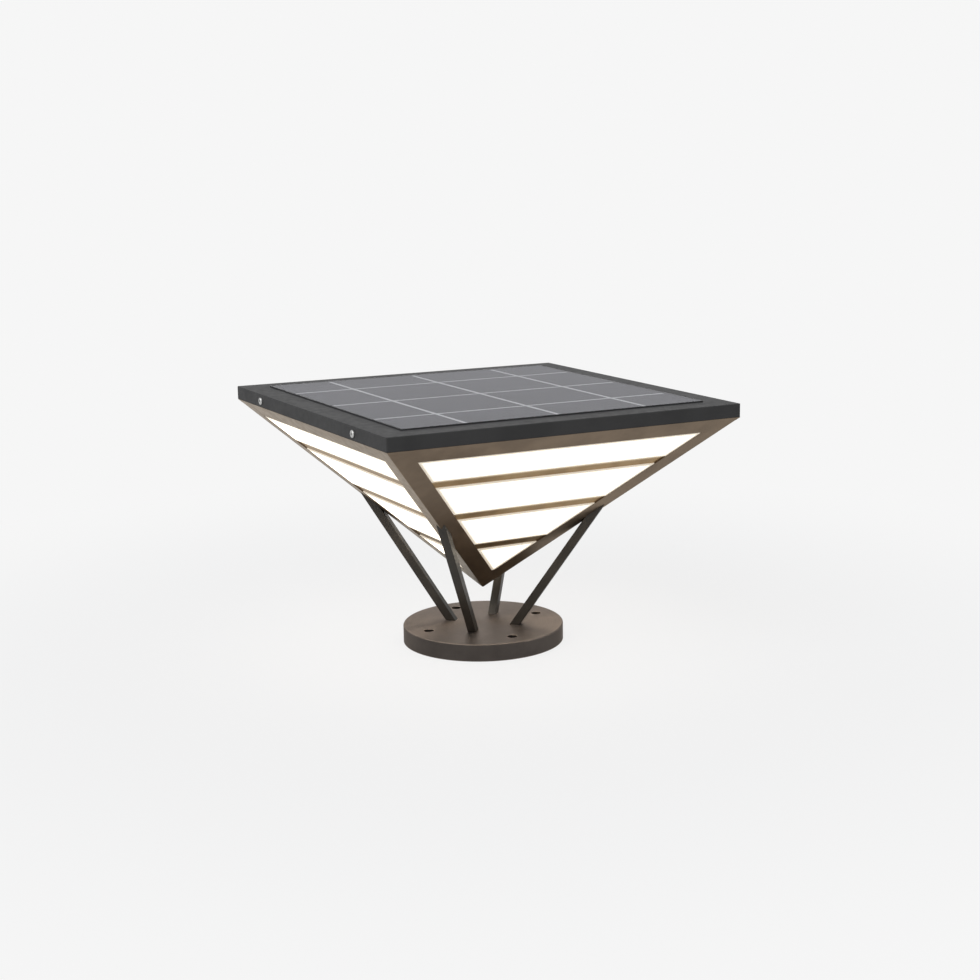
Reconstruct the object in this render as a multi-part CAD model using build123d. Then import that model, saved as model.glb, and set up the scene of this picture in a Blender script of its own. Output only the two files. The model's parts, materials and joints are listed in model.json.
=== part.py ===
from build123d import *
from math import atan2, cos, hypot, sqrt
import os

# Solar post light. A round foot and four raked legs carry an inverted pyramid lantern made of corner
# ribs, top rails and louvre bars between the panes of opal diffusers. A square solar cap closes it and
# carries everything electrical: solar panel, battery, controller, LEDs and a push switch.
# Millimetres, +Z up, origin in the middle of the foot's underside, front face towards -Y.

# Foot
base_diameter = 132.0
base_thickness = 14.0
base_edge_radius = 1.0
base_floor = 5.0  # metal left above the pockets in the underside
base_rim = 6.0
base_hub_diameter = 72.0
bolt_circle = 100.0
bolt_hole = 8.5
bolt_boss = 22.0

# Legs
leg_section = 7.0
leg_edge_radius = 0.6
leg_foot_radius = 27.5  # from the centre to the leg's axis, at the foot's top face
leg_top_radius = 93.0  # from the centre to where the leg's axis meets the ridge
leg_socket_depth = 3.0
leg_socket_clearance = 0.1

# Leg screws
leg_screw = 4.0
leg_screw_head = 7.0
leg_screw_head_height = 4.0
leg_screw_recess = 0.6  # from the head's lowest point up to the foot's underside
leg_screw_engagement = 10.0
hex_key = 3.0
hex_depth = 2.0

# Fits
thread_clearance = 0.05
hole_clearance = 0.2
seat_clearance = 0.2

# Lantern
lantern_side = 300.0
lantern_height = 150.0  # from the eave down to the point where the four faces would meet
apex_height = 43.5  # that point above the ground
tip_cut = 0.6
frame_sheet = 1.0
rib_width = 14.0
ridge_radius = 0.8
rail_depth = 16.0  # down the slope
ledge_width = 13.0
ledge_thickness = 2.5
collar_thickness = 2.5
collar_clearance = 0.3
apex_block_height = 5.0
apex_block_blunting = 1.0

# Louvre bars, measured down the slope from the eave
louvre_count = 3
louvre_first = 48.7
louvre_pitch = 48.35
louvre_width = 8.6
louvre_thickness = 1.5
louvre_lap = 5.4  # behind each rib

# Diffusers and their seals
diffuser_thickness = 3.0
diffuser_setback = 5.0  # from the ridge to the sheet's edge
diffuser_tip_width = 5.0
diffuser_seal_width = 3.0
pane_recess = 0.3  # behind the ribs' outer faces
pane_clearance = 0.2
pane_tip_width = 2.0

# Cap
cap_height = 10.5
cap_gap = 0.2  # shadow gap between the skirt and the eave
cap_corner_radius = 1.0
cap_edge_radius = 0.6
skirt_wall = 2.2
bezel_thickness = 2.0
cap_seal_thickness = 1.5
cap_seal_inset = 0.1
shelf_width = 11.0
shelf_thickness = 2.0
pocket_wall = 2.0
pocket_clearance = 0.3

# Solar panel
bezel_width = 21.0  # from the cap's side to the panel
solar_proud = 1.2
glass_thickness = 3.0
glass_edge_chamfer = 0.3
cell_thickness = 0.25
cell_pitch = 76.8
cell_gap = 3.0
cell_margin = 2.5
film_gap = 0.05
backsheet_thickness = 0.4
tape_thickness = 0.6
tape_width = 8.0
junction_length = 36.0
junction_width = 22.0
junction_height = 4.0
junction_x = 75.0
junction_y = 52.0

# Cap screws, through the skirt into square nuts behind the collar
cap_screw = 3.0
cap_screw_length = 10.0
cap_screw_head = 5.7
cap_screw_head_height = 1.65
cap_screw_spacing = 186.0
cap_screw_height = 5.2  # above the eave
cap_screw_hex = 2.0
cap_screw_hex_depth = 1.0
cap_nut = 5.5
cap_nut_thickness = 1.8
notch_clearance = 0.3

# Light tray
tray_gap = 0.6  # above the ledge
tray_margin = 5.0  # inside the collar
tray_thickness = 1.2
tray_boss = 8.0
tray_screw = 3.0
tray_screw_engagement = 3.0
pan_head = 5.6
pan_head_height = 1.6
grommet_bore = 4.0
grommet_wall = 1.0
grommet_flange = 1.5
grommet_lip = 0.8

# LED strips
strip_width = 12.0
strip_thickness = 1.6
strip_ledge_gap = 10.0  # from the ledge's inner edge to the strip
strip_corner_room = 31.0  # from a strip's end to where two strips' centre lines would cross
led_pitch = 15.0
led_length = 3.5
led_width = 2.8
led_height = 0.8

# Battery box
box_length = 140.0
box_width = 92.0
box_height = 24.0
box_wall = 2.0
box_boss = 7.0
box_boss_root = 1.5  # how far a boss is let into each wall
box_screw_engagement = 7.0
cell_count = 4
cell_diameter = 18.4
cell_length = 65.0
cell_spacing = 19.2
tab_thickness = 0.3
tab_height = 12.0

# Controller board, on posts that rise from the box's floor
cell_board_gap = 8.0
board_length = 46.0
board_width = 70.0
board_thickness = 1.6
post_height = 10.5
post_diameter = 6.0
post_inset = 4.0
board_screw = 2.5
board_screw_engagement = 5.0
board_screw_head = 4.5
board_screw_head_height = 1.4
connector_length = 8.0
connector_width = 10.0
connector_height = 5.0
connector_inset = 2.0
inductor_diameter = 12.0
inductor_height = 6.0
capacitor_diameter = 8.0
capacitor_height = 8.0
chip_side = 7.0
chip_height = 1.5

# Push switch under the board, with its button through the box's floor
switch_side = 8.0
switch_height = 5.0
switch_stem = 3.5
switch_stem_clearance = 0.15
button_diameter = 9.0
button_clearance = 0.3
button_proud = 2.0
button_flange = 12.0
button_flange_thickness = 1.2
button_travel = 1.5
button_edge_radius = 0.8
stem_entry = 1.5  # how far the stem reaches into the switch at rest

# Leads
solar_lead_diameter = 2.4
solar_lead_bend = 20.0
solar_lead_drop_bend = 6.0
led_lead_diameter = 2.0
led_lead_bend = 4.0
jumper_diameter = 1.4
jumper_bend = 20.0
jumper_reach = 4.0  # along each strip from its end
battery_lead_diameter = 1.8
battery_lead_spacing = 4.0
lead_clearance = 0.3
bend_share = 0.45  # most of a run that the bend at one of its ends may take

# Places that follow from these sizes
half = lantern_side / 2
eave = apex_height + lantern_height
slant = hypot(half, lantern_height)
ridge_angle = atan2(half, slant)
fall = lantern_height / slant  # drop for each millimetre down the slope
inward = half / slant  # rise for each millimetre of depth behind the face
quarter_turns = range(4)
face_names = ("front", "right", "back", "left")
corner_names = ("front_left", "front_right", "back_right", "back_left")

cap_side = lantern_side
skirt_bottom = eave + cap_gap
cap_top = skirt_bottom + cap_height
bezel_bottom = cap_top - bezel_thickness
skirt_inner = cap_side / 2 - skirt_wall
collar_outer = skirt_inner - collar_clearance
collar_inner = collar_outer - collar_thickness
collar_top = bezel_bottom - cap_seal_thickness
ledge_bottom = eave - ledge_thickness

glass_top = cap_top + solar_proud
glass_bottom = glass_top - glass_thickness
cells_bottom = glass_bottom - film_gap - cell_thickness
backsheet_top = cells_bottom - film_gap
backsheet_bottom = backsheet_top - backsheet_thickness
shelf_top = backsheet_bottom - tape_thickness
shelf_bottom = shelf_top - shelf_thickness
solar_side = cap_side - 2 * bezel_width
pocket_side = solar_side + 2 * pocket_clearance
window_side = pocket_side - 2 * shelf_width

tray_bottom = eave + tray_gap
tray_top = tray_bottom + tray_thickness
tray_side = 2 * (collar_inner - tray_margin)
tray_screw_place = (window_side + shelf_width) / 2
strip_bottom = tray_bottom - strip_thickness
strip_centre = half - ledge_width - strip_ledge_gap - strip_width / 2
strip_length = 2 * (strip_centre - strip_corner_room)
led_count = int(strip_length // led_pitch)
box_bottom = tray_bottom - box_height
box_floor_top = box_bottom + box_wall
box_boss_reach = box_wall + box_boss / 2 - box_boss_root
box_boss_x = box_length / 2 - box_boss_reach
box_boss_y = box_width / 2 - box_boss_reach
box_contents = cell_length + cell_board_gap + board_length
cell_start = -box_contents / 2
cell_end = cell_start + cell_length
cell_axis = box_floor_top + seat_clearance + cell_diameter / 2
board_end = box_contents / 2
board_middle = board_end - board_length / 2
board_bottom = box_floor_top + post_height
board_top = board_bottom + board_thickness
switch_bottom = board_bottom - switch_height

diffuser_depth = frame_sheet + louvre_thickness
diffuser_back = diffuser_depth + diffuser_thickness
louvre_spans = []  # where each bar starts and ends down the slope
for index in range(louvre_count):
    louvre_top = louvre_first + index * louvre_pitch - louvre_width / 2
    louvre_spans.append((louvre_top, louvre_top + louvre_width))

# Working planes: the front face with x across, y down the slope and z inwards, and its cross-section
front_face = Plane(origin=(0, -half, eave), x_dir=(1, 0, 0), z_dir=(0, fall, inward))
front_section = Plane(origin=(0, 0, 0), x_dir=(0, -1, 0), z_dir=(-1, 0, 0))
diagonal = Plane(origin=(0, 0, 0), z_dir=(1, -1, 0))
bottom_up = (Align.CENTER, Align.CENTER, Align.MIN)
top_down = (Align.CENTER, Align.CENTER, Align.MAX)


def across(distance):
    """Horizontal width of a strip that is this wide at right angles to the ridge."""
    return distance / cos(ridge_angle)


def half_width(down, setback=0.0):
    """Half the front face's width at a distance down the slope, less a setback from both ridges."""
    return half * (1 - down / slant) - across(setback)


def down_to(width, setback=0.0):
    """Distance down the slope at which the face, less the setback, is this wide."""
    return slant * (1 - (width / 2 + across(setback)) / half)


def below_ledge(depth):
    """Distance down the slope at which a sheet's back, this deep, clears the ledge."""
    return (ledge_thickness + seat_clearance + depth * inward) / fall


def keep_side(shape, origin, normal):
    """The part of a shape on the side of a plane that its normal points to."""
    return split(shape, bisect_by=Plane(origin=origin, z_dir=normal), keep=Keep.TOP)


def trapezoid(top, bottom, setback):
    """Outline on the front face between two distances down the slope."""
    upper = half_width(top, setback)
    lower = half_width(bottom, setback)
    return Polygon((-upper, top), (upper, top), (lower, bottom), (-lower, bottom), align=None)


def on_face(outline, depth, thickness):
    """A sheet of the front face, from a depth behind it."""
    return extrude(front_face.offset(depth) * outline, amount=thickness)


def square_ring(outer, inner, bottom, top):
    """A flat square frame between two heights."""
    outline = Rectangle(outer, outer) - Rectangle(inner, inner)
    return Pos(0, 0, bottom) * extrude(outline, amount=top - bottom)


def turned(shape, turns):
    """A shape made for the front, turned to another face or corner."""
    return Rot(0, 0, 90 * turns) * shape


def corners(x, y):
    """The four points at plus and minus x and y."""
    return [(sx * x, sy * y) for sx in (-1, 1) for sy in (-1, 1)]


def upright(diameter, bottom, top, x=0.0, y=0.0):
    """A vertical cylinder between two heights."""
    return Pos(x, y, bottom) * Cylinder(diameter / 2, top - bottom, align=bottom_up)


def lead(points, bends, diameter):
    """A round lead along straight runs joined by arcs, which leave some of each run straight."""
    runs = [(Vector(end) - Vector(start)).length for start, end in zip(points, points[1:])]
    room = [bend_share * run for run in runs]
    room[0] *= 2
    room[-1] *= 2
    radii = [min(bend, *sides) for bend, sides in zip(bends, zip(room, room[1:]))]
    path = FilletPolyline(*points, radius=radii)
    start = Plane(origin=path @ 0, z_dir=path % 0)
    return sweep(start * Circle(diameter / 2), path=path)


# Leg axis in the front left diagonal plane, from the foot's top face up to the ridge
leg_out = (-1 / sqrt(2), -1 / sqrt(2))
leg_foot = Vector(leg_foot_radius * leg_out[0], leg_foot_radius * leg_out[1], base_thickness)
leg_head_z = apex_height + leg_top_radius * lantern_height / (half * sqrt(2))
leg_head = Vector(leg_top_radius * leg_out[0], leg_top_radius * leg_out[1], leg_head_z)
leg_axis = (leg_head - leg_foot).normalized()
leg_plane = Plane(origin=leg_foot, x_dir=(1, -1, 0), z_dir=leg_axis)
leg_length = (leg_head - leg_foot).length
socket_length = leg_socket_depth / leg_axis.Z  # along the leg


def leg_bar(growth):
    """The leg's square bar, from below the foot's top face up into the lantern."""
    section = RectangleRounded(leg_section + 2 * growth, leg_section + 2 * growth, leg_edge_radius + growth)
    start = 2 * socket_length + leg_section
    bar = extrude(leg_plane.offset(-start) * section, amount=start + leg_length + 3 * leg_section)
    return keep_side(bar, (0, 0, base_thickness - leg_socket_depth), (0, 0, 1))


def along_leg(diameter, start, length):
    """A cylinder on the leg's axis, from a distance above the foot's top face."""
    return extrude(leg_plane.offset(start) * Circle(diameter / 2), amount=length)


# The screw head's lowest point stays just inside the foot, which sets its seat along the leg's axis
leg_screw_drop = leg_screw_head / 2 * hypot(leg_axis.X, leg_axis.Y)
leg_screw_end = (base_thickness - leg_screw_recess - leg_screw_drop) / leg_axis.Z
leg_seat = leg_screw_head_height - leg_screw_end


def base_plate():
    """Round foot with bolt holes, leg sockets, raked screw holes and pockets in its underside."""
    radius = base_diameter / 2
    disc = Cylinder(radius, base_thickness, align=bottom_up)
    disc = fillet(disc.edges().filter_by(GeomType.CIRCLE).sort_by(Axis.Z)[-1], base_edge_radius)
    pocket = Circle(radius - base_rim) - Circle(base_hub_diameter / 2)
    bolt_places = [turned(Pos(bolt_circle / 2, 0), turns) for turns in quarter_turns]
    for place in bolt_places:
        pocket -= place * Circle(bolt_boss / 2)
    plate = disc - extrude(pocket, amount=base_thickness - base_floor)
    for place in bolt_places:
        plate -= place * Cylinder(bolt_hole / 2, base_thickness, align=bottom_up)
    counterbore = along_leg(leg_screw_head + 2 * hole_clearance, leg_seat, -base_diameter / 4)
    shank = along_leg(leg_screw + 2 * hole_clearance, leg_seat, -leg_seat)
    for turns in quarter_turns:
        plate -= turned(leg_bar(leg_socket_clearance), turns)
        plate -= turned(counterbore, turns)
        plate -= turned(shank, turns)
    return plate


def lantern_solid():
    """The full inverted pyramid that the four faces enclose."""
    eave_square = Pos(0, 0, eave) * Rectangle(lantern_side, lantern_side)
    return loft([eave_square.face(), Vertex(0, 0, apex_height)], ruled=True)


def leg():
    """Raked square bar, cut to the ridge at its head and tapped at its foot."""
    bar = leg_bar(0.0) - lantern_solid()
    tapped = leg_screw + 2 * thread_clearance
    return bar - along_leg(tapped, leg_seat, leg_screw_engagement - leg_seat)


def leg_foot_screw():
    """Socket screw along the leg's axis, from under the foot."""
    head = along_leg(leg_screw_head, leg_seat, -leg_screw_head_height)
    shank = along_leg(leg_screw, leg_seat, leg_screw_engagement - leg_seat - thread_clearance)
    head_end = leg_plane.offset(leg_seat - leg_screw_head_height)
    socket = head_end * RegularPolygon(hex_key / 2, 6, major_radius=False)
    return head + shank - extrude(socket, amount=hex_depth)


def corner_rib():
    """Angled strip along the front left ridge, mitred to the other three at the tip."""
    inner_tip = down_to(0.0, rib_width)
    outline = Polygon((-half, 0), (across(rib_width) - half, 0), (0, inner_tip), (0, slant), align=None)
    flange = keep_side(on_face(outline, 0.0, frame_sheet), (0, 0, 0), (1, -1, 0))
    rib = flange + mirror(flange, about=diagonal)
    rib = keep_side(rib, (0, 0, ledge_bottom), (0, 0, -1))
    rib = keep_side(rib, (0, 0, apex_height + tip_cut), (0, 0, 1))
    ridge_middle = (-half / 2, -half / 2, apex_height + lantern_height / 2)
    return fillet(rib.edges().sort_by_distance(ridge_middle)[0], ridge_radius)


def apex_block():
    """Solid block inside the tip that the four ribs are joined to."""
    inner_apex = apex_height + frame_sheet / inward
    sections = []
    for rise in (apex_block_blunting, apex_block_height):
        side = 2 * rise * half / lantern_height
        sections.append((Pos(0, 0, inner_apex + rise) * Rectangle(side, side)).face())
    return loft(sections, ruled=True)


def top_rail(has_screws):
    """Eave rail: a ledge with a collar for the cap, and a face strip between the ribs."""
    lower_edge = half - ledge_thickness * half / lantern_height
    ledge_inner = half - ledge_width
    profile = Polygon(
        (half, eave),
        (lower_edge, ledge_bottom),
        (ledge_inner, ledge_bottom),
        (ledge_inner, eave),
        (collar_inner, eave),
        (collar_inner, collar_top),
        (collar_outer, collar_top),
        (collar_outer, eave),
        align=None,
    )
    rail = extrude(front_section * profile, amount=half, both=True)
    rail = keep_side(rail, (0, 0, 0), (1, -1, 0))
    rail = keep_side(rail, (0, 0, 0), (-1, -1, 0))
    strip = on_face(trapezoid(0.0, rail_depth, rib_width), 0.0, frame_sheet)
    rail += keep_side(strip, (0, 0, eave), (0, 0, -1))
    if has_screws:
        # Each notch runs from the screw's axis up past the top of the collar, so that the cap lifts off.
        reach = collar_top - eave
        notch = SlotCenterToCenter(2 * reach, cap_screw + 2 * notch_clearance, rotation=90)
        for side in (-1, 1):
            centre = Pos(side * cap_screw_spacing / 2, eave + cap_screw_height + reach)
            rail -= extrude(Plane.XZ * centre * notch, amount=half)
    return rail


def louvre_bar(top, bottom):
    """Horizontal bar across the front face, with its ends behind the ribs."""
    return on_face(trapezoid(top, bottom, rib_width - louvre_lap), frame_sheet, louvre_thickness)


def diffuser():
    """Opal sheet behind the bars of the front face, with raised panes that fill the windows."""
    tip = down_to(diffuser_tip_width, diffuser_setback)
    outline = trapezoid(below_ledge(diffuser_back), tip, diffuser_setback)
    sheet = on_face(outline, diffuser_depth, diffuser_thickness)
    pane_setback = rib_width + pane_clearance
    tops = [rail_depth] + [bottom for top, bottom in louvre_spans]
    bottoms = [top for top, bottom in louvre_spans] + [down_to(pane_tip_width, pane_setback)]
    for top, bottom in zip(tops, bottoms):
        pane = trapezoid(top + pane_clearance, bottom - pane_clearance, pane_setback)
        sheet += on_face(pane, pane_recess, diffuser_depth - pane_recess)
    return sheet


def diffuser_seal():
    """Rubber frame between the front diffuser and the ribs and rail in front of it, clear of the bars' ends."""
    top = below_ledge(diffuser_back)
    inner_setback = diffuser_setback + diffuser_seal_width
    inner_tip = down_to(0.0, inner_setback)
    outer = trapezoid(top, inner_tip + diffuser_seal_width, diffuser_setback)
    inner_top = top + diffuser_seal_width
    inner_half = half_width(inner_top, inner_setback)
    inner = Polygon((-inner_half, inner_top), (inner_half, inner_top), (0, inner_tip), align=None)
    ring = outer - inner
    for bar_top, bar_bottom in louvre_spans:
        bar_setback = rib_width - louvre_lap - seat_clearance
        ring -= trapezoid(bar_top - seat_clearance, bar_bottom + seat_clearance, bar_setback)
    return on_face(ring, frame_sheet, louvre_thickness)


def cap_frame():
    """Square cap: skirt, bezel, a pocket with a shelf for the panel, and bosses for the tray."""
    body = Pos(0, 0, skirt_bottom) * Box(cap_side, cap_side, cap_height, align=bottom_up)
    body = fillet(body.edges().filter_by(Axis.Z), cap_corner_radius)
    body = fillet(body.faces().sort_by(Axis.Z)[-1].edges(), cap_edge_radius)
    hollow = Box(2 * skirt_inner, 2 * skirt_inner, bezel_bottom - skirt_bottom, align=bottom_up)
    frame = body - Pos(0, 0, skirt_bottom) * hollow
    frame += square_ring(pocket_side + 2 * pocket_wall, window_side, shelf_bottom, bezel_bottom)
    frame -= Pos(0, 0, shelf_top) * Box(pocket_side, pocket_side, cap_height, align=bottom_up)
    for x, y in corners(tray_screw_place, tray_screw_place):
        frame += upright(tray_boss, tray_top, shelf_bottom, x, y)
        tapped = tray_screw + 2 * thread_clearance
        frame -= upright(tapped, tray_top, tray_top + tray_screw_engagement + seat_clearance, x, y)
    for y in (-cap_screw_spacing / 2, cap_screw_spacing / 2):
        hole = Rot(0, 90, 0) * Cylinder(cap_screw / 2 + hole_clearance, 2 * cap_side)
        frame -= Pos(0, y, eave + cap_screw_height) * hole
    return frame


def solar_glass():
    """Clear front sheet of the solar panel."""
    sheet = Pos(0, 0, glass_bottom) * Box(solar_side, solar_side, glass_thickness, align=bottom_up)
    return chamfer(sheet.faces().sort_by(Axis.Z)[-1].edges(), glass_edge_chamfer)


def solar_cells():
    """Sixteen cells in rows of four, with narrow gaps between them."""
    spans = []
    outer = (cell_pitch + cell_gap / 2, solar_side / 2 - cell_margin)
    inner = (cell_gap / 2, cell_pitch - cell_gap / 2)
    for start, end in (outer, inner):
        spans += [((start + end) / 2, end - start), (-(start + end) / 2, end - start)]
    cells = []
    for x, length in spans:
        for y, width in spans:
            cell = Box(length, width, cell_thickness, align=bottom_up)
            cells.append(Pos(x, y, cells_bottom) * cell)
    return cells


def solar_backsheet():
    """Pale sheet behind the cells, seen in the gaps between them."""
    return Pos(0, 0, backsheet_bottom) * Box(solar_side, solar_side, backsheet_thickness, align=bottom_up)


def panel_tape():
    """Foam tape that holds the panel on the cap's shelf."""
    return square_ring(solar_side, solar_side - 2 * tape_width, shelf_top, backsheet_bottom)


def junction_box():
    """Flat box on the panel's back that its lead leaves from."""
    body = Box(junction_length, junction_width, junction_height, align=top_down)
    return Pos(junction_x, junction_y, backsheet_bottom) * body


def cap_seal():
    """Square rubber seal under the bezel, pressed on the top of the collar."""
    outer = 2 * (collar_outer - cap_seal_inset)
    inner = 2 * (collar_inner + cap_seal_inset)
    return square_ring(outer, inner, collar_top, bezel_bottom)


def cap_fasteners(turns):
    """One side's two button head screws, and the square nuts on them behind the collar."""
    screws = []
    nuts = []
    face = cap_side / 2
    height = eave + cap_screw_height
    for y in (-cap_screw_spacing / 2, cap_screw_spacing / 2):
        outward = Plane(origin=(face, y, height), x_dir=(0, 1, 0), z_dir=(1, 0, 0))
        head = extrude(outward * Circle(cap_screw_head / 2), amount=cap_screw_head_height)
        rim = head.faces().sort_by(Axis.X)[-1].edges()
        head = fillet(rim, cap_screw_head_height / 2)
        socket_floor = outward.offset(cap_screw_head_height - cap_screw_hex_depth)
        socket = socket_floor * RegularPolygon(cap_screw_hex / 2, 6, major_radius=False)
        shank = extrude(outward * Circle(cap_screw / 2), amount=-cap_screw_length)
        screws.append(turned(head + shank - extrude(socket, amount=cap_screw_hex_depth), turns))
        bore = Circle(cap_screw / 2 + thread_clearance)
        nut = outward.offset(collar_inner - face) * (Rectangle(cap_nut, cap_nut) - bore)
        nuts.append(turned(extrude(nut, amount=-cap_nut_thickness), turns))
    return screws, nuts


def light_tray():
    """White sheet that closes the cap from below and carries the LEDs and the battery box."""
    tray = Pos(0, 0, tray_bottom) * Box(tray_side, tray_side, tray_thickness, align=bottom_up)
    clear = tray_screw + 2 * hole_clearance
    for x, y in corners(tray_screw_place, tray_screw_place) + corners(box_boss_x, box_boss_y):
        tray -= upright(clear, tray_bottom, tray_top, x, y)
    return tray - upright(grommet_bore + 2 * grommet_wall, tray_bottom, tray_top, *solar_connector)


def pan_screw(engagement, x, y, up):
    """Pan head screw through the tray, pointing up into the cap or down into the box."""
    if up:
        head = upright(pan_head, tray_bottom - pan_head_height, tray_bottom, x, y)
        shank = upright(tray_screw, tray_bottom, tray_top + engagement, x, y)
    else:
        head = upright(pan_head, tray_top, tray_top + pan_head_height, x, y)
        shank = upright(tray_screw, tray_bottom - engagement, tray_top, x, y)
    return head + shank


def tray_grommet():
    """Rubber grommet where the solar lead passes through the tray."""
    x, y = solar_connector
    neck = grommet_bore + 2 * grommet_wall
    flange = neck + 2 * grommet_flange
    body = upright(neck, tray_bottom, tray_top, x, y)
    body += upright(flange, tray_top, tray_top + grommet_lip, x, y)
    body += upright(flange, tray_bottom - grommet_lip, tray_bottom, x, y)
    return body - upright(grommet_bore, tray_bottom - grommet_lip, tray_top + grommet_lip, x, y)


def led_strip():
    """Metal core strip along the front of the tray's underside."""
    strip = Box(strip_length, strip_width, strip_thickness, align=top_down)
    return Pos(0, -strip_centre, tray_bottom) * strip


def led_chips():
    """The front strip's row of LED packages."""
    package = Box(led_length, led_width, led_height, align=top_down)
    first = -led_pitch * (led_count - 1) / 2
    return [Pos(first + i * led_pitch, -strip_centre, strip_bottom) * package for i in range(led_count)]


def battery_box():
    """Open tub under the tray with screw bosses, board posts and a hole for the button."""
    tub = Pos(0, 0, box_bottom) * Box(box_length, box_width, box_height, align=bottom_up)
    inside = Box(box_length - 2 * box_wall, box_width - 2 * box_wall, box_height, align=bottom_up)
    tub -= Pos(0, 0, box_floor_top) * inside
    for x, y in corners(box_boss_x, box_boss_y):
        tub += upright(box_boss, box_floor_top, tray_bottom, x, y)
        tapped = tray_screw + 2 * thread_clearance
        tub -= upright(tapped, tray_bottom - box_screw_engagement - seat_clearance, tray_bottom, x, y)
    for x, y in board_posts():
        tub += upright(post_diameter, box_floor_top, board_bottom, x, y)
        tapped = board_screw + 2 * thread_clearance
        tub -= upright(tapped, board_bottom - board_screw_engagement - seat_clearance, board_bottom, x, y)
    opening = button_diameter + 2 * button_clearance
    tub -= upright(opening, box_bottom, box_floor_top, board_middle)
    exit_hole = Rot(0, 90, 0) * Cylinder(led_lead_diameter / 2 + lead_clearance, 4 * box_wall)
    return tub - Pos(box_length / 2, led_connector[1], connector_middle) * exit_hole


def board_posts():
    """Places of the four posts under the controller board."""
    reach_x = board_length / 2 - post_inset
    reach_y = board_width / 2 - post_inset
    return [(board_middle + x, y) for x, y in corners(reach_x, reach_y)]


def battery_cells():
    """Row of round cells on the floor of the box."""
    cell = Rot(0, 90, 0) * Cylinder(cell_diameter / 2, cell_length)
    first = -cell_spacing * (cell_count - 1) / 2
    middle = (cell_start + cell_end) / 2
    return [Pos(middle, first + i * cell_spacing, cell_axis) * cell for i in range(cell_count)]


def cell_tabs():
    """Nickel strips that join the cells at both ends."""
    width = cell_spacing * (cell_count - 1) + tab_height
    tab = Box(tab_thickness, width, tab_height)
    ends = (cell_start - tab_thickness / 2, cell_end + tab_thickness / 2)
    return [Pos(x, 0, cell_axis) * tab for x in ends]


def controller_board():
    """Circuit board for charging and switching."""
    board = Box(board_length, board_width, board_thickness, align=bottom_up)
    board = Pos(board_middle, 0, board_bottom) * board
    for x, y in board_posts():
        board -= upright(board_screw + 2 * hole_clearance, board_bottom, board_top, x, y)
    return board


def board_screw_at(x, y):
    """Small screw through the board into a post."""
    head = upright(board_screw_head, board_top, board_top + board_screw_head_height, x, y)
    return head + upright(board_screw, board_bottom - board_screw_engagement, board_top, x, y)


# Connectors on the board: the battery's faces the cells, the LEDs' the box's end, and the panel's faces up
connector_edge = board_length / 2 - connector_inset - connector_length / 2
connector_row = board_width / 4
battery_connector = (board_middle - connector_edge, 0.0)
led_connector = (board_middle + connector_edge, -connector_row)
solar_connector = (board_middle + connector_edge, connector_row)
connector_middle = board_top + connector_height / 2


def board_components():
    """Connectors, choke, capacitor and chips on the board's upper side."""
    block = Box(connector_length, connector_width, connector_height, align=bottom_up)
    places = (battery_connector, led_connector, solar_connector)
    parts = [Pos(x, y, board_top) * block for x, y in places]
    left = board_middle - board_length / 8
    parts.append(upright(inductor_diameter, board_top, board_top + inductor_height, left, connector_row))
    parts.append(upright(capacitor_diameter, board_top, board_top + capacitor_height, left, -connector_row))
    chip = Box(chip_side, chip_side, chip_height, align=bottom_up)
    parts.append(Pos(board_middle + connector_edge / 2, 0, board_top) * chip)
    return parts


def switch_body():
    """Push switch on the board's underside, bored for the button's stem."""
    body = Box(switch_side, switch_side, switch_height, align=bottom_up)
    body = Pos(board_middle, 0, switch_bottom) * body
    bore = switch_stem + 2 * switch_stem_clearance
    depth = stem_entry + button_travel + seat_clearance
    return body - upright(bore, switch_bottom, switch_bottom + depth, board_middle)


def power_button():
    """Round button with a flange inside the box and a stem up into the switch."""
    button = upright(button_diameter, box_bottom - button_proud, box_floor_top, board_middle)
    lower_rim = button.edges().filter_by(GeomType.CIRCLE).sort_by(Axis.Z)[0]
    button = fillet(lower_rim, button_edge_radius)
    flange_top = box_floor_top + button_flange_thickness
    button += upright(button_flange, box_floor_top, flange_top, board_middle)
    return button + upright(switch_stem, flange_top, switch_bottom + stem_entry, board_middle)


def solar_lead():
    """Lead from the panel's junction box, over the tray and down through the grommet to the board."""
    x, y = solar_connector
    height = backsheet_bottom - junction_height / 2
    side = junction_y - junction_width / 2
    # The lead leaves the junction box towards the front, runs across and turns down.
    start = (junction_x, side, height)
    corner = (junction_x, y, height)
    drop = (x, y, height)
    end = (x, y, board_top + connector_height)
    return lead((start, corner, drop, end), (solar_lead_bend, solar_lead_drop_bend), solar_lead_diameter)


def led_lead():
    """Lead from the board, out through the box's end and up to the right hand strip."""
    x, y = led_connector
    start = (x + connector_length / 2, y, connector_middle)
    corner = (strip_centre, y, connector_middle)
    end = (strip_centre, y, strip_bottom)
    return lead((start, corner, end), [led_lead_bend], led_lead_diameter)


def led_jumper():
    """Short lead between the front and left strips, under their ends."""
    height = strip_bottom - jumper_diameter / 2 - film_gap
    reach = strip_length / 2 - jumper_reach
    start = (-reach, -strip_centre, height)
    corner = (-strip_centre, -strip_centre, height)
    end = (-strip_centre, -reach, height)
    return lead((start, corner, end), [jumper_bend], jumper_diameter)


def battery_lead():
    """Pair of short leads from the nearer tab to the board's connector."""
    start = cell_end + tab_thickness
    end = battery_connector[0] - connector_length / 2
    wire = Rot(0, 90, 0) * Cylinder(battery_lead_diameter / 2, end - start)
    wire = Pos((start + end) / 2, 0, connector_middle) * wire
    return [Pos(0, side * battery_lead_spacing / 2) * wire for side in (-1, 1)]


def save(name, *shapes):
    """Write one node's solids to its own file."""
    solids = [solid for shape in shapes for solid in shape.solids()]
    shape = solids[0] if len(solids) == 1 else Compound(children=solids)
    export_step(shape, os.path.join("parts", name + ".step"))


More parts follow.
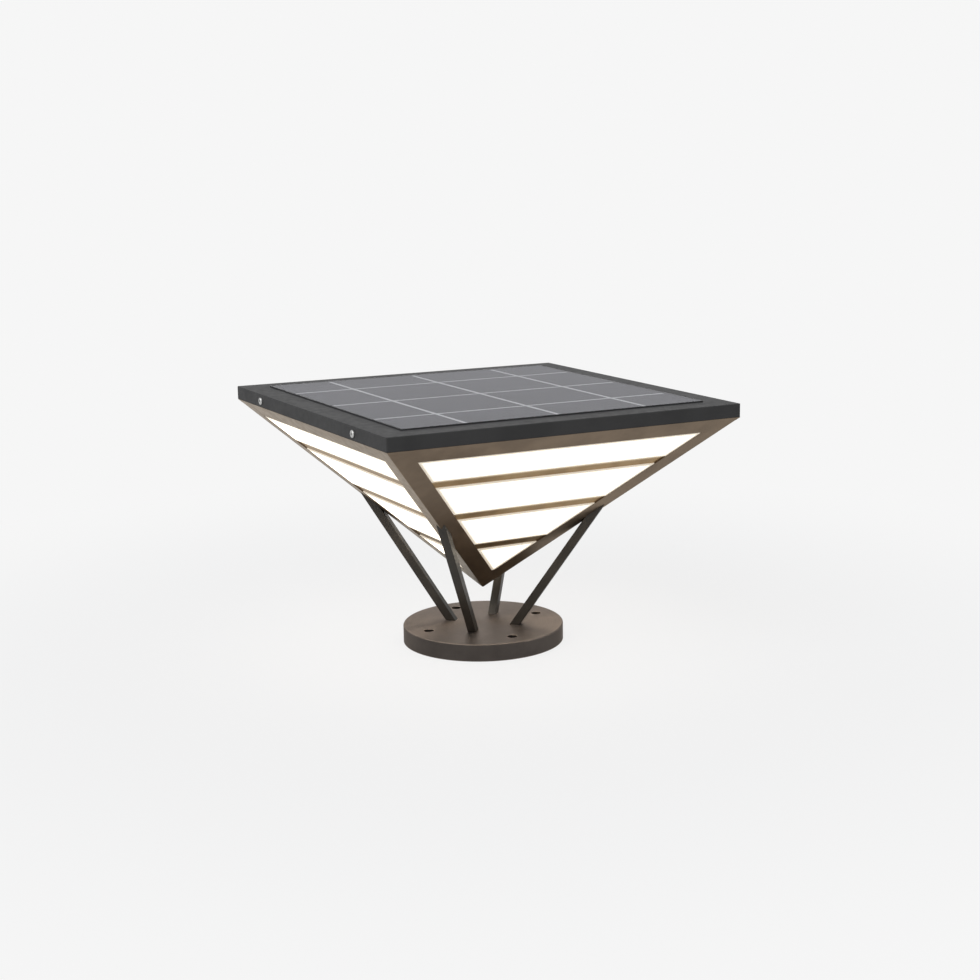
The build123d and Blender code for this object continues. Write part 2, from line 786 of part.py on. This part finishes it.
def save_lantern():
    """Write the foot, the legs and the lantern."""
    save("base_plate", base_plate())
    save("leg_foot_screws", *[turned(leg_foot_screw(), turns) for turns in quarter_turns])
    save("apex_block", apex_block())
    save("diffuser_seals", *[turned(diffuser_seal(), turns) for turns in quarter_turns])
    one_leg = leg()
    one_rib = corner_rib()
    for turns, corner in enumerate(corner_names):
        save("leg_" + corner, turned(one_leg, turns))
        save("rib_" + corner, turned(one_rib, turns))
    one_diffuser = diffuser()
    bars = [louvre_bar(top, bottom) for top, bottom in louvre_spans]
    for turns, face in enumerate(face_names):
        save("top_rail_" + face, turned(top_rail(face in ("left", "right")), turns))
        save("diffuser_" + face, turned(one_diffuser, turns))
        for index, bar in enumerate(bars):
            save(f"louvre_{face}_{index + 1}", turned(bar, turns))


def save_cap():
    """Write the solar cap and all that hangs from it."""
    right_screws, right_nuts = cap_fasteners(0)
    left_screws, left_nuts = cap_fasteners(2)
    tray_corners = corners(tray_screw_place, tray_screw_place)
    box_corners = corners(box_boss_x, box_boss_y)
    strip = led_strip()
    chips = led_chips()
    save("cap_frame", cap_frame())
    save("cap_seal", cap_seal())
    save("cap_screws", *right_screws, *left_screws)
    save("cap_nuts", *right_nuts, *left_nuts)
    save("solar_glass", solar_glass())
    save("solar_cells", *solar_cells())
    save("solar_backsheet", solar_backsheet())
    save("panel_tape", panel_tape())
    save("junction_box", junction_box())
    save("light_tray", light_tray())
    save("tray_screws", *[pan_screw(tray_screw_engagement, x, y, True) for x, y in tray_corners])
    save("tray_grommet", tray_grommet())
    save("led_strips", *[turned(strip, turns) for turns in quarter_turns])
    save("led_chips", *[turned(chip, turns) for turns in quarter_turns for chip in chips])
    save("led_jumpers", *[turned(led_jumper(), turns) for turns in (0, 2, 3)])
    save("battery_box", battery_box())
    save("box_screws", *[pan_screw(box_screw_engagement, x, y, False) for x, y in box_corners])
    save("battery_cells", *battery_cells())
    save("cell_tabs", *cell_tabs())
    save("controller_board", controller_board())
    save("board_screws", *[board_screw_at(x, y) for x, y in board_posts()])
    save("board_components", *board_components())
    save("switch_body", switch_body())
    save("power_button", power_button())
    save("solar_lead", solar_lead())
    save("led_lead", led_lead())
    save("battery_lead", *battery_lead())


os.makedirs("parts", exist_ok=True)
save_lantern()
save_cap()
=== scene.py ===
"""Finishes, floor, light and camera for the solar post light, around its fixed frame (metres, +Z up)."""
import json
import math

import bpy
from mathutils import Matrix, Vector

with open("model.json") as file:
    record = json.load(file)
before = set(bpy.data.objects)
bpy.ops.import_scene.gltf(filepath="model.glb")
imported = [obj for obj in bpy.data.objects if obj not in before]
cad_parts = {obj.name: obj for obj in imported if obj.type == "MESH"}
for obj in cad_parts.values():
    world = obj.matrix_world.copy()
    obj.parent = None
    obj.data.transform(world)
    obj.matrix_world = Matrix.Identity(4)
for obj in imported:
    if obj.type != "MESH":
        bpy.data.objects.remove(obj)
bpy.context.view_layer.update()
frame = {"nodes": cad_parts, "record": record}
nodes = frame["nodes"]
MM = 0.001

# Camera, solved from the cap's corners, the lantern's tip and the foot
PHOTO_SIDE = 980  # pixels
FOCAL_LENGTH = 1647.3  # pixels
AXIS_RIGHT, AXIS_DOWN = 114.1, 7.1  # pixels from the picture's middle to the lens axis
SENSOR_SIDE = 36.0  # millimetres
CAMERA_AZIMUTH = math.radians(-31.7)  # 0 looks along +Y
CAMERA_ELEVATION = math.radians(11.81)
CAMERA_PLACE = Vector((-0.6072, -1.17387, 0.39511))

# Studio
BACKDROP = (0.922, 0.922, 0.922, 1.0)
FILL_COLOUR = (1.0, 1.0, 1.0, 1.0)
FILL_STRENGTH = 0.62
KEY_STRENGTH = 1.5
KEY_AZIMUTH = math.radians(-70.0)
KEY_ELEVATION = math.radians(48.0)
KEY_SOFTNESS = math.radians(45.0)
FLOOR_REACH = 30.0
VIEW_REACH = 4 * FLOOR_REACH
FLOOR_ALBEDO = (0.49, 0.5, 0.53, 1.0)  # of the share that takes light and shadow
BOUNCE_ALBEDO = (0.4, 0.4, 0.4, 1.0)  # of the floor as it lights the lamp
FLOOR_SHADE = 0.13  # share of the floor near the lamp that takes light and shadow
SHADE_START, SHADE_END = 0.2, 0.7  # metres from the lamp between which the floor turns into backdrop

# Lantern faces, which fall at 45 degrees; the windows lie between the rail, the ribs and the bars
EAVE = 193.5 * MM
RAIL_DEPTH = 16.0 * MM  # down the slope
RIB_WIDTH = 14.0 * MM
BAR_FIRST, BAR_PITCH, BAR_WIDTH = 48.7 * MM, 48.35 * MM, 8.6 * MM  # down the slope
SLOPE_STRETCH = math.sqrt(2.0)  # metres down the slope for each metre of height
RIDGE_SLANT = math.sqrt(2.0 / 3.0)  # distance to the ridge on a face, for each metre across

# Glow
PANE_GLOW, EDGE_GLOW = 6.0, 0.3  # of the panes outside, in their middle and at their edges
PANE_FADE = 7 * MM  # from a pane's edge to its full glow
BACK_GLOW = 0.35  # of the sheets' inner sides
LED_GLOW = 2.0

# Finishes
PATCH_LOW, PATCH_HIGH = 0.3, 0.7  # noise values between which patches fade
CRISP_LOW, CRISP_HIGH = 0.35, 0.65  # the same for crisper patches
EDGE_START, EDGE_END = 0.995, 0.85  # likeness of rounded and true normals, from flats to edges
BEVEL_SAMPLES = 4
UPWARD = 0.5  # rise of a normal above which a side faces up
GLASS_IOR = 1.45
CELL_REACH = 126.5 * MM  # from the panel's middle to its outer cells' edges
FINGER_PITCH = 2.4 * MM  # between the lines printed on the cells
RING_SIZE = 0.5 * MM  # of the foot's turned grooves
TRACK_SIZE = 3 * MM  # of the circuit board's pattern


class Nodes:
    """A shader tree, with short calls for the nodes that finishes, floor and surroundings share."""

    def __init__(self, tree):
        self.tree = tree
        self.tree.nodes.clear()

    def node(self, kind, inputs=None, **settings):
        """A new node with its settings, and its inputs given as values or as other nodes' outputs."""
        node = self.tree.nodes.new(kind)
        for key, value in settings.items():
            setattr(node, key, value)
        for key, value in (inputs or {}).items():
            if isinstance(value, bpy.types.NodeSocket):
                self.tree.links.new(value, node.inputs[key])
            else:
                node.inputs[key].default_value = value
        return node

    def calc(self, operation, *values):
        """One step of arithmetic."""
        node = self.node("ShaderNodeMath", dict(enumerate(values)), operation=operation)
        return node.outputs[0]

    def mix(self, factor, first, second):
        """A shader between two shaders."""
        return self.node("ShaderNodeMixShader", {0: factor, 1: first, 2: second}).outputs[0]

    def seen(self):
        """1 for rays that show the background: the camera's, and those that gloss and glass send on."""
        rays = self.node("ShaderNodeLightPath").outputs
        straight = self.calc("MAXIMUM", rays["Is Camera Ray"], rays["Is Glossy Ray"])
        return self.calc("MAXIMUM", straight, rays["Is Transmission Ray"])


class Finish(Nodes):
    """One material's tree, with its coordinates, patterns and surface."""

    def __init__(self, name):
        self.material = bpy.data.materials.new(name)
        self.material.use_nodes = True
        super().__init__(self.material.node_tree)
        self.place = self.node("ShaderNodeTexCoord").outputs["Object"]

    def noise(self, size, detail=2.0, stretch=(1.0, 1.0, 1.0)):
        """Even noise whose features are about this size in metres."""
        mapping = self.node("ShaderNodeMapping", {"Vector": self.place, "Scale": stretch})
        inputs = {"Vector": mapping.outputs[0], "Scale": 1.0 / size, "Detail": detail}
        return self.node("ShaderNodeTexNoise", inputs).outputs["Fac"]

    def span(self, value, start, end, low=0.0, high=1.0):
        """A value mapped smoothly from one range to another."""
        inputs = {"Value": value, "From Min": start, "From Max": end, "To Min": low, "To Max": high}
        node = self.node("ShaderNodeMapRange", inputs, interpolation_type="SMOOTHSTEP")
        return node.outputs[0]

    def patches(self, size, detail=2.0, low=0.0, high=1.0, stretch=(1.0, 1.0, 1.0)):
        """Soft patches of about this size in metres, between a low and a high value."""
        return self.span(self.noise(size, detail, stretch), PATCH_LOW, PATCH_HIGH, low, high)

    def blend(self, factor, first, second):
        """A colour between two colours."""
        node = self.node("ShaderNodeMix", data_type="RGBA")
        sockets = {"Factor_Float": factor, "A_Color": first, "B_Color": second}
        for socket in node.inputs:
            value = sockets.get(socket.identifier)
            if isinstance(value, bpy.types.NodeSocket):
                self.tree.links.new(value, socket)
            elif value is not None:
                socket.default_value = value
        return next(socket for socket in node.outputs if socket.identifier == "Result_Color")

    def vector(self, operation, *values):
        """One step of vector arithmetic."""
        return self.node("ShaderNodeVectorMath", dict(enumerate(values)), operation=operation)

    def axes(self):
        """The piece's own coordinates, one by one."""
        return self.node("ShaderNodeSeparateXYZ", {0: self.place}).outputs

    def sides(self):
        """Distances from the lamp's middle along X and along Y."""
        axes = self.axes()
        return [self.calc("ABSOLUTE", axes[axis]) for axis in "XY"]

    def rise(self):
        """How far the surface faces up: 1 on a top, 0 on a wall and -1 on an underside."""
        normal = self.node("ShaderNodeNewGeometry").outputs["True Normal"]
        return self.node("ShaderNodeSeparateXYZ", {0: normal}).outputs["Z"]

    def down_slope(self):
        """Distance from the eave down the slope of a lantern face."""
        return self.calc("MULTIPLY", self.calc("SUBTRACT", EAVE, self.axes()["Z"]), SLOPE_STRETCH)

    def from_ridge(self):
        """Distance from the nearest ridge along a lantern face."""
        across = self.calc("ABSOLUTE", self.calc("SUBTRACT", *self.sides()))
        return self.calc("MULTIPLY", across, RIDGE_SLANT)

    def from_bar(self):
        """Distance along a lantern face from the middle of the nearest bar."""
        turns = self.calc("DIVIDE", self.calc("SUBTRACT", self.down_slope(), BAR_FIRST), BAR_PITCH)
        part = self.calc("SUBTRACT", turns, self.calc("ROUND", turns))
        return self.calc("MULTIPLY", self.calc("ABSOLUTE", part), BAR_PITCH)

    def painted_shade_down_face(self, colour, start, end, share):
        """A colour that falls to a share of itself between two distances down a lantern face, as painted
        shade.
        """
        scale = self.span(self.down_slope(), start, end, 1.0, share)
        inputs = {0: colour, "Scale": scale}
        return self.node("ShaderNodeVectorMath", inputs, operation="SCALE").outputs[0]

    def bevel(self, radius):
        """Normals rounded at the piece's edges."""
        return self.node("ShaderNodeBevel", {"Radius": radius}, samples=BEVEL_SAMPLES).outputs[0]

    def edges(self, radius):
        """1 along the piece's edges and 0 elsewhere."""
        true = self.node("ShaderNodeNewGeometry").outputs["Normal"]
        likeness = self.vector("DOT_PRODUCT", self.bevel(radius), true).outputs["Value"]
        return self.span(likeness, EDGE_START, EDGE_END)

    def bump(self, height, depth, radius=0.0):
        """Normals of a surface raised by a height between 0 and 1 times a depth, with soft edges."""
        inputs = {"Height": height, "Distance": depth, "Strength": 1.0}
        if radius:
            inputs["Normal"] = self.bevel(radius)
        return self.node("ShaderNodeBump", inputs).outputs[0]

    def surface(self, **inputs):
        """Finishes with a principled surface; an underscore in a name stands for a space."""
        named = {key.replace("_", " "): value for key, value in inputs.items()}
        shader = self.node("ShaderNodeBsdfPrincipled", named)
        return self.finish(shader.outputs[0])

    def finish(self, shader):
        """Finishes with any shader."""
        self.node("ShaderNodeOutputMaterial", {"Surface": shader})
        return self.material


def rgb(red, green, blue):
    """A linear colour."""
    return (red, green, blue, 1.0)


def tones(colour, spread):
    """A darker and a lighter form of a colour."""
    return [rgb(*[(1 + change) * channel for channel in colour]) for change in (-spread, spread)]


def towards(azimuth, elevation):
    """Direction from the lamp to what stands at this azimuth and elevation."""
    level = math.cos(elevation)
    return Vector((math.sin(azimuth) * level, -math.cos(azimuth) * level, math.sin(elevation)))


def coated_metal(name, colour, worn, roughness, metallic, grain_depth=0.012 * MM, spread=0.2, **gloss):
    """Powder coat: fine grain, soft blotches, and edges where the coat is thin."""
    skin = Finish(name)
    body = skin.blend(skin.patches(28 * MM, 3.0), *tones(colour, spread))
    thin = skin.span(skin.noise(9 * MM), CRISP_LOW, CRISP_HIGH, 0.35, 1.0)
    wear = skin.calc("MULTIPLY", skin.edges(0.7 * MM), thin)
    return skin.surface(
        Base_Color=skin.blend(wear, body, rgb(*worn)),
        Metallic=metallic,
        Roughness=skin.patches(6 * MM, 4.0, roughness - 0.05, roughness + 0.05),
        Normal=skin.bump(skin.noise(0.9 * MM), grain_depth, 0.4 * MM),
        **gloss,
    )


def cap_coat():
    """Graphite powder coat of the cap."""
    colour = (0.055, 0.055, 0.056)
    worn = (0.08, 0.08, 0.08)
    return coated_metal("cap_coat", colour, worn, 0.5, 0.0, spread=0.08, Specular_IOR_Level=0.04)


def leg_coat():
    """Darker bronze of the legs."""
    colour = (0.031, 0.0265, 0.0215)
    worn = (0.1, 0.085, 0.07)
    return coated_metal("leg_coat", colour, worn, 0.4, 0.3, 0.006 * MM, Specular_IOR_Level=0.3)


def bronze_coat():
    """Dark bronze of the lantern's ribs and rails, with painted shade that darkens it towards the tip.
    """
    skin = Finish("bronze_coat")
    dark, light = rgb(0.143, 0.107, 0.077), rgb(0.181, 0.136, 0.098)
    body = skin.blend(skin.patches(28 * MM, 3.0), dark, light)
    return skin.surface(
        # painted shade: the colour falls to half of itself towards the tip, over the dark foot
        Base_Color=skin.painted_shade_down_face(body, 130 * MM, 185 * MM, 0.5),
        Metallic=0.85,
        Roughness=skin.patches(6 * MM, 4.0, 0.28, 0.37),
        Specular_Tint=rgb(0.97, 0.9, 0.8),
        Normal=skin.bump(skin.noise(0.9 * MM), 0.004 * MM, 0.25 * MM),
    )


def pane_lit_bar_coat():
    """Bronze of the bars, painted lighter and warmer than the ribs' as if lit by the panes, with painted
    glow along their edges and painted shade near the tip.
    """
    skin = Finish("pane_lit_bar_coat")
    # painted light: the bars' tones are lighter and warmer than the ribs' bronze, standing in for the
    # panes' light on them
    dark, light, painted_glow = rgb(0.275, 0.18, 0.09), rgb(0.37, 0.252, 0.13), rgb(0.56, 0.44, 0.28)
    body = skin.blend(skin.patches(20 * MM, 3.0), dark, light)
    half, glow_width = BAR_WIDTH / 2, 2 * MM
    # painted glow: a pale warm band along each bar's edges stands in for the panes' light spilling onto
    # them
    glow_painted = skin.blend(skin.span(skin.from_bar(), half - glow_width, half), body, painted_glow)
    return skin.surface(
        # painted shade: the colour falls towards the tip
        Base_Color=skin.painted_shade_down_face(glow_painted, 110 * MM, 150 * MM, 0.62),
        Metallic=0.9,
        Roughness=skin.patches(6 * MM, 4.0, 0.32, 0.42),
        Specular_Tint=rgb(1.0, 0.97, 0.92),
        Normal=skin.bump(skin.noise(0.9 * MM), 0.004 * MM, 0.4 * MM),
    )


def foot_coat():
    """Satin taupe of the foot, turned on a lathe, so that its fine grooves are rings; its walls are
    painted darker than its top as painted shade, and its edges paler as a painted highlight.
    """
    skin = Finish("foot_coat")
    flat = skin.vector("MULTIPLY", skin.place, (1.0, 1.0, 0.0)).outputs[0]
    radius = skin.vector("LENGTH", flat).outputs["Value"]
    turned = {"W": radius, "Scale": 1.0 / RING_SIZE, "Detail": 3.0}
    rings = skin.node("ShaderNodeTexNoise", turned, noise_dimensions="1D").outputs["Fac"]
    ring_share, grain_share = 0.6, 0.4
    grooves = skin.calc("MULTIPLY", rings, ring_share)
    grain = skin.calc("ADD", grooves, skin.calc("MULTIPLY", skin.noise(0.7 * MM), grain_share))
    blotches = skin.patches(24 * MM, 3.0)
    # painted shade: the walls take darker tones than the top, standing in for the light that falls on
    # the top and not on the walls
    top = skin.blend(blotches, rgb(0.119, 0.102, 0.093), rgb(0.157, 0.134, 0.122))
    side = skin.blend(blotches, rgb(0.058, 0.05, 0.046), rgb(0.08, 0.07, 0.064))
    body = skin.blend(skin.calc("GREATER_THAN", skin.rise(), UPWARD), side, top)
    dirt = skin.span(rings, CRISP_LOW, CRISP_HIGH, 0.0, 0.25)
    grooved = skin.blend(dirt, body, rgb(0.05, 0.042, 0.036))
    return skin.surface(
        # painted highlight: a pale warm band along the foot's edges stands in for the panes' light
        # caught on its rounded rim
        Base_Color=skin.blend(skin.edges(0.9 * MM), grooved, rgb(0.4, 0.33, 0.28)),
        Metallic=0.8,
        Roughness=skin.span(rings, PATCH_LOW, PATCH_HIGH, 0.36, 0.46),
        Specular_Tint=rgb(0.76, 0.69, 0.63),
        Anisotropic=0.7,
        Tangent=skin.node("ShaderNodeTangent", direction_type="RADIAL", axis="Z").outputs[0],
        Normal=skin.bump(grain, 0.02 * MM, 0.5 * MM),
    )


def bare_metal(name, colour, roughness):
    """Plain metal with fine scratches and darker smudges."""
    skin = Finish(name)
    scratches = skin.noise(0.5 * MM, 3.0, (1.0, 1.0, 6.0))
    smudged = rgb(*[0.75 * channel for channel in colour])
    return skin.surface(
        Base_Color=skin.blend(skin.patches(3 * MM), smudged, rgb(*colour)),
        Metallic=1.0,
        Roughness=skin.span(scratches, PATCH_LOW, PATCH_HIGH, roughness - 0.07, roughness + 0.1),
        Normal=skin.bump(scratches, 0.008 * MM, 0.15 * MM),
    )


def glass():
    """Clear front sheet of the panel with a dark sealed edge, which mirrors softly at low angles."""
    skin = Finish("glass")
    clear = skin.node("ShaderNodeBsdfTransparent", {"Color": rgb(0.96, 0.97, 0.97)}).outputs[0]
    bent = skin.node("ShaderNodeBsdfRefraction", {"IOR": GLASS_IOR, "Roughness": 0.0}).outputs[0]
    sheen = skin.node("ShaderNodeBsdfGlossy", {
        "Color": rgb(0.47, 0.47, 0.49),
        "Roughness": skin.patches(14 * MM, 3.0, 0.16, 0.24),
        "Normal": skin.bump(skin.noise(0.5 * MM), 0.008 * MM),
    }).outputs[0]
    sealed = {"Base Color": rgb(0.012, 0.012, 0.014), "Roughness": 0.5}
    edge = skin.node("ShaderNodeBsdfPrincipled", sealed).outputs[0]
    fresnel = skin.node("ShaderNodeFresnel", {"IOR": GLASS_IOR}).outputs[0]
    front = skin.mix(fresnel, bent, sheen)
    inside = skin.node("ShaderNodeNewGeometry").outputs["Backfacing"]
    sheet = skin.mix(inside, front, clear)
    level = 0.9  # rise of a normal beyond which a side is one of the sheet's faces
    face = skin.calc("GREATER_THAN", skin.calc("ABSOLUTE", skin.rise()), level)
    pane = skin.mix(face, edge, sheet)
    rays = skin.node("ShaderNodeLightPath").outputs
    lighting = skin.calc("MAXIMUM", rays["Is Shadow Ray"], rays["Is Diffuse Ray"])
    return skin.finish(skin.mix(lighting, pane, clear))


def silicon():
    """Dark cells with pale printed fingers across them."""
    skin = Finish("silicon")
    along = skin.calc("MULTIPLY", skin.axes()["Y"], 1.0 / FINGER_PITCH)
    middle = 0.5
    nearest = skin.calc("ABSOLUTE", skin.calc("SUBTRACT", skin.calc("FRACT", along), middle))
    fingers = skin.span(nearest, 0.08, 0.03, 0.0, 0.55)
    tone = skin.patches(40 * MM, stretch=(0.3, 3.0, 1.0))
    body = skin.blend(tone, rgb(0.014, 0.014, 0.02), rgb(0.024, 0.024, 0.034))
    return skin.surface(
        Base_Color=skin.blend(fingers, body, rgb(0.2, 0.2, 0.21)),
        Roughness=skin.patches(2 * MM, low=0.3, high=0.42),
    )


def backsheet():
    """Pale sheet seen between the cells, with a dark printed border outside them."""
    skin = Finish("backsheet")
    border = skin.calc("GREATER_THAN", skin.calc("MAXIMUM", *skin.sides()), CELL_REACH)
    pale = skin.blend(skin.patches(12 * MM, 3.0), rgb(0.56, 0.56, 0.58), rgb(0.64, 0.64, 0.66))
    return skin.surface(
        Base_Color=skin.blend(border, pale, rgb(0.02, 0.02, 0.022)),
        Roughness=skin.patches(4 * MM, 3.0, 0.54, 0.66),
        Normal=skin.bump(skin.noise(0.8 * MM), 0.01 * MM),
    )


def dull(name, colour, roughness, grain=0.8 * MM, depth=0.02 * MM, spread=0.12):
    """Moulded plastic, rubber or painted sheet: one colour with soft blotches and a fine texture."""
    skin = Finish(name)
    return skin.surface(
        Base_Color=skin.blend(skin.patches(12 * MM, 3.0), *tones(colour, spread)),
        Roughness=skin.patches(4 * MM, 3.0, roughness - 0.06, roughness + 0.06),
        Normal=skin.bump(skin.noise(grain), depth, 0.2 * MM),
    )


def opal():
    """Glowing opal sheet: warm white panes that fall off to cream along their edges."""
    skin = Finish("opal")
    beside_bar = skin.calc("SUBTRACT", skin.from_bar(), BAR_WIDTH / 2)
    beside_rib = skin.calc("SUBTRACT", skin.from_ridge(), RIB_WIDTH)
    below_rail = skin.calc("SUBTRACT", skin.down_slope(), RAIL_DEPTH)
    inside = skin.calc("MINIMUM", skin.calc("MINIMUM", beside_bar, beside_rib), below_rail)
    glow = skin.span(inside, 0.0, PANE_FADE)
    cloud = skin.patches(30 * MM, low=0.94, high=1.0)
    outer = skin.calc("MULTIPLY", cloud, skin.span(glow, 0.0, 1.0, EDGE_GLOW, PANE_GLOW))
    inner_side = skin.calc("GREATER_THAN", skin.rise(), UPWARD)
    return skin.surface(
        Base_Color=rgb(0.8, 0.78, 0.74),
        Roughness=skin.patches(5 * MM, low=0.4, high=0.5),
        Emission_Color=skin.blend(glow, rgb(1.0, 0.84, 0.62), rgb(1.0, 0.89, 0.72)),
        Emission_Strength=skin.span(inner_side, 0.0, 1.0, outer, BACK_GLOW),
        Normal=skin.bump(skin.noise(0.6 * MM), 0.008 * MM),
    )


def led():
    """Phosphor of the LEDs."""
    skin = Finish("led")
    return skin.surface(
        Base_Color=skin.blend(skin.patches(1 * MM), rgb(0.75, 0.55, 0.12), rgb(0.85, 0.68, 0.2)),
        Roughness=0.35,
        Emission_Color=rgb(1.0, 0.9, 0.7),
        Emission_Strength=LED_GLOW,
    )


def green_board():
    """Circuit board with copper tracks under green lacquer."""
    skin = Finish("green_board")
    tracks = skin.node("ShaderNodeTexBrick", {
        "Vector": skin.place,
        "Color1": rgb(0.008, 0.11, 0.04),
        "Color2": rgb(0.01, 0.13, 0.05),
        "Mortar": rgb(0.03, 0.22, 0.09),
        "Scale": 1.0 / TRACK_SIZE,
        "Mortar Size": 0.08,
    })
    return skin.surface(
        Base_Color=tracks.outputs[0],
        Roughness=0.35,
        Normal=skin.bump(skin.noise(1 * MM), 0.01 * MM),
    )


def finishes():
    """The finish for each of the record's material slots, and the bars' own, painted lighter as if lit
    by the panes.
    """
    return {
        "cap_coat": cap_coat(),
        "bronze_coat": bronze_coat(),
        "pane_lit_bar_coat": pane_lit_bar_coat(),
        "leg_coat": leg_coat(),
        "foot_coat": foot_coat(),
        "steel": bare_metal("steel", (0.58, 0.58, 0.57), 0.28),
        "nickel": bare_metal("nickel", (0.62, 0.6, 0.56), 0.25),
        "glass": glass(),
        "silicon": silicon(),
        "backsheet": backsheet(),
        "opal": opal(),
        "rubber": dull("rubber", (0.025, 0.025, 0.025), 0.75),
        "button_rubber": dull("button_rubber", (0.3, 0.03, 0.02), 0.6),
        "black_plastic": dull("black_plastic", (0.02, 0.02, 0.021), 0.5, 0.6 * MM, 0.03 * MM),
        "white_coat": dull("white_coat", (0.78, 0.78, 0.76), 0.45, spread=0.03),
        "white_board": dull("white_board", (0.74, 0.74, 0.72), 0.4, spread=0.03),
        "led": led(),
        "wire": dull("wire", (0.025, 0.025, 0.027), 0.45),
        "cell_can": dull("cell_can", (0.05, 0.2, 0.42), 0.35),
        "green_board": green_board(),
        "components": dull("components", (0.05, 0.05, 0.05), 0.45),
    }


def dress():
    """Puts each node's finish in its material slots."""
    finish = finishes()
    for subpart in frame["record"]["subparts"]:
        name = subpart["node"]
        # the louvres take the bars' finish, painted lighter as if lit by the panes, in place of their
        # own slot's finish
        chosen = "pane_lit_bar_coat" if name.startswith("louvre") else subpart["material_slot"]
        for slot in nodes[name].material_slots:
            slot.material = finish[chosen]


def floor():
    """Pale floor that takes the lamp's soft shadow nearby and turns into the backdrop further off."""
    skin = Finish("floor")
    radius = skin.vector("LENGTH", skin.place).outputs["Value"]
    near = skin.span(radius, SHADE_START, SHADE_END, 1.0, 0.0)
    lit = skin.node("ShaderNodeBsdfDiffuse", {"Color": FLOOR_ALBEDO}).outputs[0]
    plain = skin.node("ShaderNodeEmission", {"Color": BACKDROP, "Strength": 1.0}).outputs[0]
    bounce = skin.node("ShaderNodeBsdfDiffuse", {"Color": BOUNCE_ALBEDO}).outputs[0]
    shown = skin.mix(skin.calc("MULTIPLY", near, FLOOR_SHADE), plain, lit)
    mesh = bpy.data.meshes.new("floor")
    turns = [(-1, -1), (1, -1), (1, 1), (-1, 1)]
    corners = [(FLOOR_REACH * across, FLOOR_REACH * along, 0) for across, along in turns]
    mesh.from_pydata(corners, [], [(0, 1, 2, 3)])
    mesh.materials.append(skin.finish(skin.mix(skin.seen(), bounce, shown)))
    plane = bpy.data.objects.new("floor", mesh)
    bpy.context.collection.objects.link(plane)


def surroundings():
    """Even pale light from all round, in front of a plain backdrop."""
    world = bpy.data.worlds.new("studio")
    bpy.context.scene.world = world
    world.use_nodes = True
    sky = Nodes(world.node_tree)
    lit = {"Color": FILL_COLOUR, "Strength": FILL_STRENGTH}
    fill = sky.node("ShaderNodeBackground", lit).outputs[0]
    backdrop = sky.node("ShaderNodeBackground", {"Color": BACKDROP}).outputs[0]
    sky.node("ShaderNodeOutputWorld", {"Surface": sky.mix(sky.seen(), fill, backdrop)})


def key_light():
    """One large soft light from the upper left."""
    key = bpy.data.lights.new("key", "SUN")
    key.energy = KEY_STRENGTH
    key.angle = KEY_SOFTNESS
    lamp = bpy.data.objects.new("key", key)
    lamp.rotation_euler = towards(KEY_AZIMUTH, KEY_ELEVATION).to_track_quat("Z", "Y").to_euler()
    bpy.context.collection.objects.link(lamp)


def camera():
    """Camera at the photograph's place and angle."""
    back = towards(CAMERA_AZIMUTH, CAMERA_ELEVATION)
    right = Vector((math.cos(CAMERA_AZIMUTH), math.sin(CAMERA_AZIMUTH), 0.0))
    turn = Matrix((right, back.cross(right), back)).transposed()
    data = bpy.data.cameras.new("camera")
    data.sensor_width = SENSOR_SIDE
    data.lens = FOCAL_LENGTH * SENSOR_SIDE / PHOTO_SIDE
    data.shift_x = -AXIS_RIGHT / PHOTO_SIDE
    data.shift_y = AXIS_DOWN / PHOTO_SIDE
    data.clip_end = VIEW_REACH
    view = bpy.data.objects.new("camera", data)
    view.matrix_world = Matrix.Translation(CAMERA_PLACE) @ turn.to_4x4()
    bpy.context.collection.objects.link(view)
    bpy.context.scene.camera = view


dress()
floor()
surroundings()
key_light()
camera()
bpy.context.scene.view_settings.view_transform = "Standard"
